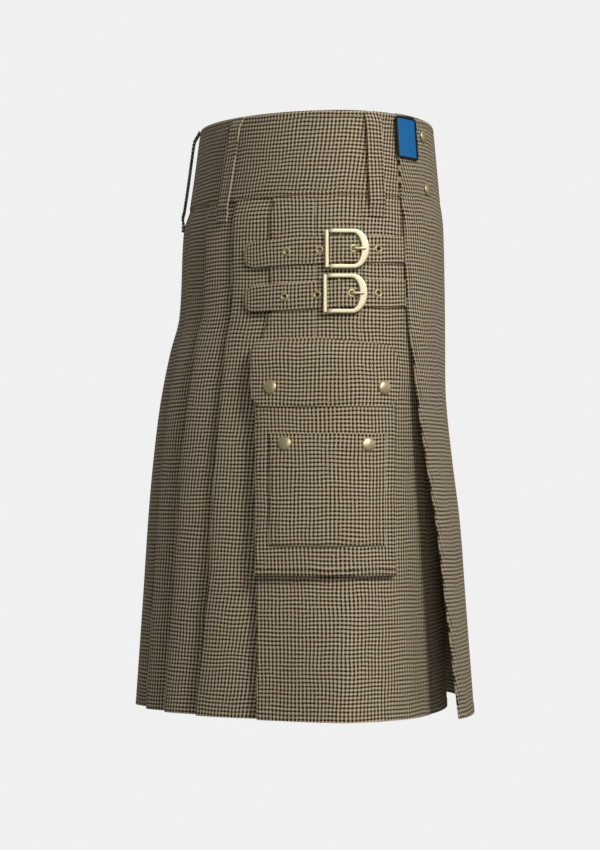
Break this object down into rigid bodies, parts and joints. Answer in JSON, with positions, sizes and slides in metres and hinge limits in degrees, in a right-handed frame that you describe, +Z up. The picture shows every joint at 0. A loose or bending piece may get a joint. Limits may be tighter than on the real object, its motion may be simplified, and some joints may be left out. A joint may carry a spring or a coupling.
{
  "type": "utility kilt",
  "caption": "Wrap-over utility kilt in checked cloth with a flat front apron, knife-pleated back, side cargo pockets, buckled hip straps and belt loops.",
  "frame": {"origin": "middle of the waist at half the height of the waistband, where the wearer's waist holds the kilt", "axes": "+Z up, -Y the way the wearer faces, -X the wearer's right"},
  "size_m": [0.4179, 0.3561, 0.61],
  "materials": {
    "check_cloth": "small two-colour check, matt twill",
    "tab_cloth": "woven, matt",
    "pale_brass": "polished",
    "antique_brass": "satin"
  },
  "bodies": {
    "root": {"waistband": "check_cloth", "front_apron": "check_cloth", "under_apron": "check_cloth", "side_panel_right": "check_cloth", "side_panel_left": "check_cloth", "pleated_back_right": "check_cloth", "back_panel": "check_cloth", "pleated_back_left": "check_cloth", "belt_loop_back": "check_cloth", "belt_loop_right_rear": "check_cloth", "belt_loop_right_front": "check_cloth", "belt_loop_left_front": "check_cloth", "belt_loop_left_rear": "check_cloth", "pocket_right": "check_cloth", "patch_pocket_right": "check_cloth", "pocket_flap_right": "check_cloth", "strap_right_upper": "check_cloth", "strap_right_lower": "check_cloth", "pocket_left": "check_cloth", "patch_pocket_left": "check_cloth", "pocket_flap_left": "check_cloth", "strap_left_upper": "check_cloth", "strap_left_lower": "check_cloth", "waist_tab": "tab_cloth", "buckle_right_upper": "pale_brass", "buckle_right_lower": "pale_brass", "buckle_left_upper": "pale_brass", "buckle_left_lower": "pale_brass", "prong_right_upper": "pale_brass", "eyelet_right_upper_1": "antique_brass", "eyelet_right_upper_2": "antique_brass", "eyelet_right_upper_3": "antique_brass", "eyelet_right_upper_4": "antique_brass", "prong_right_lower": "pale_brass", "eyelet_right_lower_1": "antique_brass", "eyelet_right_lower_2": "antique_brass", "eyelet_right_lower_3": "antique_brass", "eyelet_right_lower_4": "antique_brass", "snap_flap_rear_right": "antique_brass", "snap_flap_front_right": "antique_brass", "snap_patch_rear_right": "antique_brass", "snap_patch_front_right": "antique_brass", "prong_left_upper": "pale_brass", "eyelet_left_upper_1": "antique_brass", "eyelet_left_upper_2": "antique_brass", "eyelet_left_upper_3": "antique_brass", "eyelet_left_upper_4": "antique_brass", "prong_left_lower": "pale_brass", "eyelet_left_lower_1": "antique_brass", "eyelet_left_lower_2": "antique_brass", "eyelet_left_lower_3": "antique_brass", "eyelet_left_lower_4": "antique_brass", "snap_flap_rear_left": "antique_brass", "snap_flap_front_left": "antique_brass", "snap_patch_rear_left": "antique_brass", "snap_patch_front_left": "antique_brass", "snap_waist_upper": "antique_brass", "snap_waist_lower": "antique_brass"}
  },
  "joints": []
}
